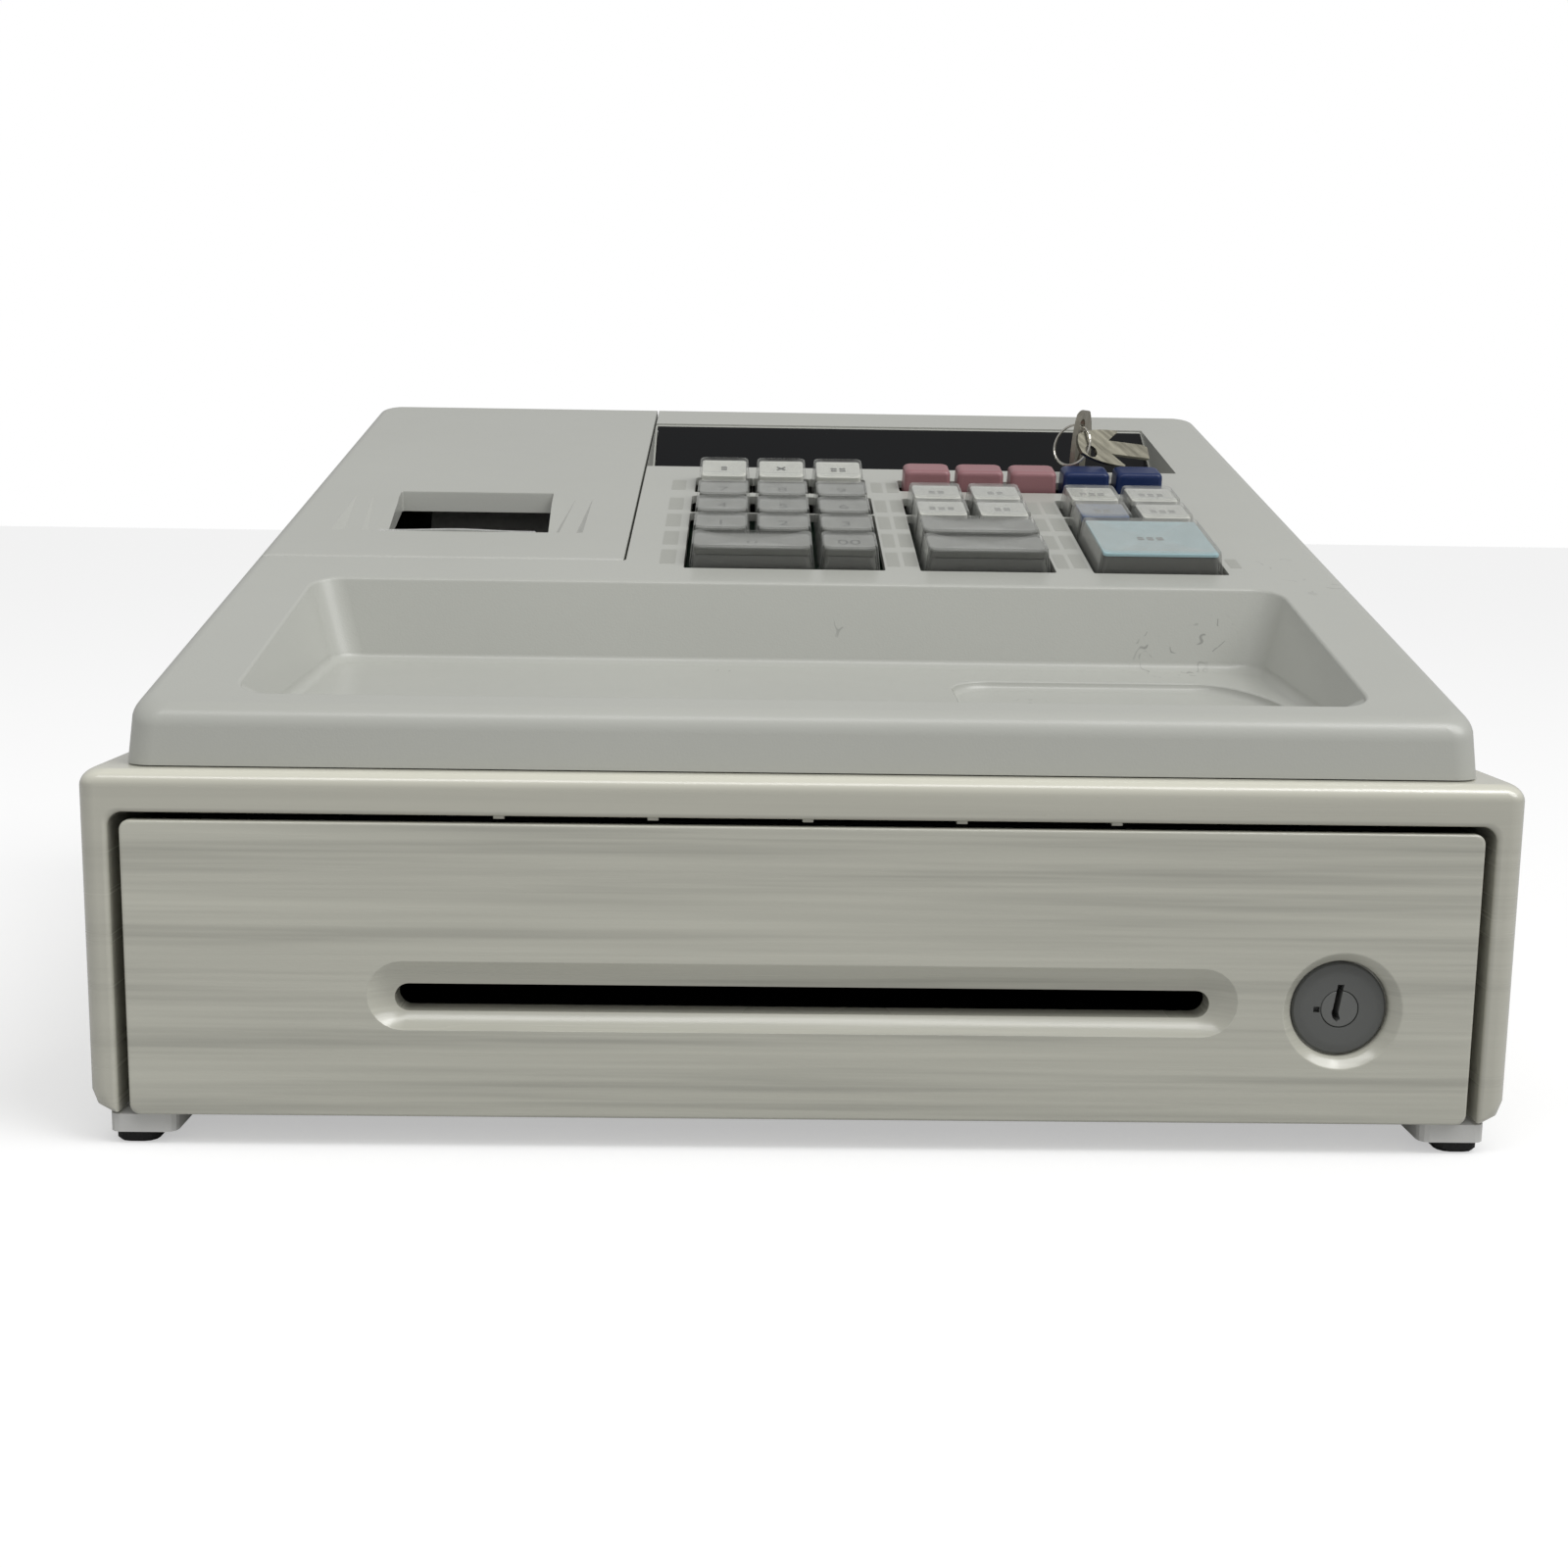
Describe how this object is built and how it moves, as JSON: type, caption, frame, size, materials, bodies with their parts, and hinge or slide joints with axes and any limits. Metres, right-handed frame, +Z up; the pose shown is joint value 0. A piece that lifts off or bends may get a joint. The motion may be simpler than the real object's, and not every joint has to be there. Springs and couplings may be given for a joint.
{
  "type": "cash register",
  "caption": "Compact electronic cash register with a sloped keyboard housing, coin tray, receipt printer cover, mode lock and a sliding, lockable cash drawer.",
  "frame": {"origin": "bottom centre of the whole register, on the surface its feet stand on", "axes": "+X to the operator's right, +Y from the drawer's front to the rear, +Z up"},
  "size_m": [0.335, 0.355, 0.1846],
  "materials": {
    "cabinet": "glossy cream moulded plastic, slightly yellowed",
    "housing": "light grey plastic with a fine spark texture",
    "base": "light grey moulded plastic",
    "rubber": "black rubber",
    "drawer": "dark grey moulded plastic",
    "till": "black moulded plastic",
    "lock_grey": "mid grey plastic lock rose",
    "nickel": "worn nickel plate",
    "chrome": "chromed steel",
    "steel": "zinc plated steel",
    "clear": "clear plastic cutter bar",
    "smoke": "dark smoked window",
    "board": "green circuit board",
    "paper": "white thermal paper",
    "black": "black moulded plastic",
    "platen": "black rubber on a steel axle",
    "key_grey": "grey key under a clear cap",
    "key_white": "white key under a clear cap",
    "key_pink": "solid dusty pink key",
    "key_blue": "solid navy blue key",
    "key_lilac": "lilac key under a clear cap",
    "key_cyan": "pale cyan key under a clear cap"
  },
  "bodies": {
    "register": {"cabinet_shell": "cabinet", "base_plate": "base", "foot_front_left": "rubber", "foot_front_right": "rubber", "foot_rear_left": "rubber", "foot_rear_right": "rubber", "cord_inlet": "rubber", "upper_housing": "housing", "display_window": "smoke", "display_board": "board", "main_board": "board", "mode_lock": "chrome", "printer_frame": "black", "release_solenoid": "steel"},
    "drawer": {"drawer_front": "cabinet", "drawer_body": "drawer", "till_tray": "till", "lock_bezel": "lock_grey"},
    "bill_arm_1": {"bill_arm_1": "till"},
    "bill_arm_2": {"bill_arm_2": "till"},
    "bill_arm_3": {"bill_arm_3": "till"},
    "drawer_lock": {"lock_plug": "nickel"},
    "printer_cover": {"printer_cover": "housing", "tear_bar": "clear"},
    "mode_key": {"mode_rotor": "chrome", "mode_key": "nickel", "key_ring": "nickel", "spare_key": "nickel"},
    "paper_roll": {"paper_roll": "paper"},
    "platen": {"platen_roller": "platen"},
    "key_0": {"key_0": "key_grey"},
    "key_00": {"key_00": "key_grey"},
    "key_1": {"key_1": "key_grey"},
    "key_2": {"key_2": "key_grey"},
    "key_3": {"key_3": "key_grey"},
    "key_4": {"key_4": "key_grey"},
    "key_5": {"key_5": "key_grey"},
    "key_6": {"key_6": "key_grey"},
    "key_7": {"key_7": "key_grey"},
    "key_8": {"key_8": "key_grey"},
    "key_9": {"key_9": "key_grey"},
    "key_grey_wide_1": {"key_grey_wide_1": "key_grey"},
    "key_grey_wide_2": {"key_grey_wide_2": "key_grey"},
    "key_feed": {"key_feed": "key_white"},
    "key_times": {"key_times": "key_white"},
    "key_clear": {"key_clear": "key_white"},
    "key_white_1": {"key_white_1": "key_white"},
    "key_white_2": {"key_white_2": "key_white"},
    "key_white_3": {"key_white_3": "key_white"},
    "key_white_4": {"key_white_4": "key_white"},
    "key_white_5": {"key_white_5": "key_white"},
    "key_white_6": {"key_white_6": "key_white"},
    "key_white_7": {"key_white_7": "key_white"},
    "key_pink_1": {"key_pink_1": "key_pink"},
    "key_pink_2": {"key_pink_2": "key_pink"},
    "key_pink_3": {"key_pink_3": "key_pink"},
    "key_blue_1": {"key_blue_1": "key_blue"},
    "key_blue_2": {"key_blue_2": "key_blue"},
    "key_lilac": {"key_lilac": "key_lilac"},
    "key_total": {"key_total": "key_cyan"}
  },
  "joints": [
    {"name": "drawer_slide", "type": "slide", "parent": "register", "child": "drawer", "axis": [0, -1, 0], "range_m": [0, 0.25]},
    {"name": "arm_1_lift", "type": "hinge", "parent": "drawer", "child": "bill_arm_1", "pos_m": [-0.101, 0.1185, 0.06], "axis": [-1, 0, 0], "range_deg": [0, 18], "stiffness_Nm_per_rad": 0.02, "springref_deg": -28.65},
    {"name": "arm_2_lift", "type": "hinge", "parent": "drawer", "child": "bill_arm_2", "pos_m": [0, 0.1185, 0.06], "axis": [-1, 0, 0], "range_deg": [0, 18], "stiffness_Nm_per_rad": 0.02, "springref_deg": -28.65},
    {"name": "arm_3_lift", "type": "hinge", "parent": "drawer", "child": "bill_arm_3", "pos_m": [0.101, 0.1185, 0.06], "axis": [-1, 0, 0], "range_deg": [0, 18], "stiffness_Nm_per_rad": 0.02, "springref_deg": -28.65},
    {"name": "cover_lift", "type": "slide", "parent": "register", "child": "printer_cover", "axis": [0, -0.254, 0.9672], "range_m": [0, 0.03]},
    {"name": "lock_turn", "type": "hinge", "parent": "drawer", "child": "drawer_lock", "pos_m": [0.1267, -0.1675, 0.0356], "axis": [0, 1, 0], "range_deg": [0, 90]},
    {"name": "mode_turn", "type": "hinge", "parent": "register", "child": "mode_key", "pos_m": [0.098, 0.04689, 0.16067], "axis": [0, -0.254, 0.9672], "range_deg": [0, 120]},
    {"name": "paper_feed", "type": "hinge", "parent": "register", "child": "paper_roll", "pos_m": [-0.1015, 0.0745, 0.128], "axis": [1, 0, 0], "continuous": true},
    {"name": "platen_feed", "type": "hinge", "parent": "register", "child": "platen", "pos_m": [-0.1015, -0.0055, 0.126], "axis": [1, 0, 0], "continuous": true},
    {"name": "press_total", "type": "slide", "parent": "register", "child": "key_total", "axis": [0, 0.254, -0.9672], "range_m": [0, 0.0035], "stiffness_N_per_m": 200, "springref_m": -0.002},
    {"name": "press_grey_wide_1", "type": "slide", "parent": "register", "child": "key_grey_wide_1", "axis": [0, 0.254, -0.9672], "range_m": [0, 0.0035], "stiffness_N_per_m": 200, "springref_m": -0.002},
    {"name": "press_0", "type": "slide", "parent": "register", "child": "key_0", "axis": [0, 0.254, -0.9672], "range_m": [0, 0.0035], "stiffness_N_per_m": 200, "springref_m": -0.002},
    {"name": "press_pink_1", "type": "slide", "parent": "register", "child": "key_pink_1", "axis": [0, 0.254, -0.9672], "range_m": [0, 0.0035], "stiffness_N_per_m": 200, "springref_m": -0.002},
    {"name": "press_blue_1", "type": "slide", "parent": "register", "child": "key_blue_1", "axis": [0, 0.254, -0.9672], "range_m": [0, 0.0035], "stiffness_N_per_m": 200, "springref_m": -0.002},
    {"name": "press_feed", "type": "slide", "parent": "register", "child": "key_feed", "axis": [0, 0.254, -0.9672], "range_m": [0, 0.0035], "stiffness_N_per_m": 200, "springref_m": -0.002},
    {"name": "press_white_1", "type": "slide", "parent": "register", "child": "key_white_1", "axis": [0, 0.254, -0.9672], "range_m": [0, 0.0035], "stiffness_N_per_m": 200, "springref_m": -0.002},
    {"name": "press_lilac", "type": "slide", "parent": "register", "child": "key_lilac", "axis": [0, 0.254, -0.9672], "range_m": [0, 0.0035], "stiffness_N_per_m": 200, "springref_m": -0.002},
    {"name": "press_5", "type": "slide", "parent": "register", "child": "key_5", "axis": [0, 0.254, -0.9672], "range_m": [0, 0.0035], "stiffness_N_per_m": 200, "springref_m": -0.002},
    {"name": "press_00", "type": "slide", "parent": "register", "child": "key_00", "axis": [0, 0.254, -0.9672], "range_m": [0, 0.0035], "stiffness_N_per_m": 200, "springref_m": -0.002},
    {"name": "press_1", "type": "slide", "parent": "register", "child": "key_1", "axis": [0, 0.254, -0.9672], "range_m": [0, 0.0035], "stiffness_N_per_m": 200, "springref_m": -0.002},
    {"name": "press_2", "type": "slide", "parent": "register", "child": "key_2", "axis": [0, 0.254, -0.9672], "range_m": [0, 0.0035], "stiffness_N_per_m": 200, "springref_m": -0.002},
    {"name": "press_3", "type": "slide", "parent": "register", "child": "key_3", "axis": [0, 0.254, -0.9672], "range_m": [0, 0.0035], "stiffness_N_per_m": 200, "springref_m": -0.002},
    {"name": "press_4", "type": "slide", "parent": "register", "child": "key_4", "axis": [0, 0.254, -0.9672], "range_m": [0, 0.0035], "stiffness_N_per_m": 200, "springref_m": -0.002},
    {"name": "press_6", "type": "slide", "parent": "register", "child": "key_6", "axis": [0, 0.254, -0.9672], "range_m": [0, 0.0035], "stiffness_N_per_m": 200, "springref_m": -0.002},
    {"name": "press_7", "type": "slide", "parent": "register", "child": "key_7", "axis": [0, 0.254, -0.9672], "range_m": [0, 0.0035], "stiffness_N_per_m": 200, "springref_m": -0.002},
    {"name": "press_8", "type": "slide", "parent": "register", "child": "key_8", "axis": [0, 0.254, -0.9672], "range_m": [0, 0.0035], "stiffness_N_per_m": 200, "springref_m": -0.002},
    {"name": "press_9", "type": "slide", "parent": "register", "child": "key_9", "axis": [0, 0.254, -0.9672], "range_m": [0, 0.0035], "stiffness_N_per_m": 200, "springref_m": -0.002},
    {"name": "press_grey_wide_2", "type": "slide", "parent": "register", "child": "key_grey_wide_2", "axis": [0, 0.254, -0.9672], "range_m": [0, 0.0035], "stiffness_N_per_m": 200, "springref_m": -0.002},
    {"name": "press_times", "type": "slide", "parent": "register", "child": "key_times", "axis": [0, 0.254, -0.9672], "range_m": [0, 0.0035], "stiffness_N_per_m": 200, "springref_m": -0.002},
    {"name": "press_clear", "type": "slide", "parent": "register", "child": "key_clear", "axis": [0, 0.254, -0.9672], "range_m": [0, 0.0035], "stiffness_N_per_m": 200, "springref_m": -0.002},
    {"name": "press_white_2", "type": "slide", "parent": "register", "child": "key_white_2", "axis": [0, 0.254, -0.9672], "range_m": [0, 0.0035], "stiffness_N_per_m": 200, "springref_m": -0.002},
    {"name": "press_white_3", "type": "slide", "parent": "register", "child": "key_white_3", "axis": [0, 0.254, -0.9672], "range_m": [0, 0.0035], "stiffness_N_per_m": 200, "springref_m": -0.002},
    {"name": "press_white_4", "type": "slide", "parent": "register", "child": "key_white_4", "axis": [0, 0.254, -0.9672], "range_m": [0, 0.0035], "stiffness_N_per_m": 200, "springref_m": -0.002},
    {"name": "press_white_5", "type": "slide", "parent": "register", "child": "key_white_5", "axis": [0, 0.254, -0.9672], "range_m": [0, 0.0035], "stiffness_N_per_m": 200, "springref_m": -0.002},
    {"name": "press_white_6", "type": "slide", "parent": "register", "child": "key_white_6", "axis": [0, 0.254, -0.9672], "range_m": [0, 0.0035], "stiffness_N_per_m": 200, "springref_m": -0.002},
    {"name": "press_white_7", "type": "slide", "parent": "register", "child": "key_white_7", "axis": [0, 0.254, -0.9672], "range_m": [0, 0.0035], "stiffness_N_per_m": 200, "springref_m": -0.002},
    {"name": "press_pink_2", "type": "slide", "parent": "register", "child": "key_pink_2", "axis": [0, 0.254, -0.9672], "range_m": [0, 0.0035], "stiffness_N_per_m": 200, "springref_m": -0.002},
    {"name": "press_pink_3", "type": "slide", "parent": "register", "child": "key_pink_3", "axis": [0, 0.254, -0.9672], "range_m": [0, 0.0035], "stiffness_N_per_m": 200, "springref_m": -0.002},
    {"name": "press_blue_2", "type": "slide", "parent": "register", "child": "key_blue_2", "axis": [0, 0.254, -0.9672], "range_m": [0, 0.0035], "stiffness_N_per_m": 200, "springref_m": -0.002}
  ],
  "couplings": [
    {"joint": "platen_feed", "follows": "paper_feed", "ratio": 5}
  ]
}
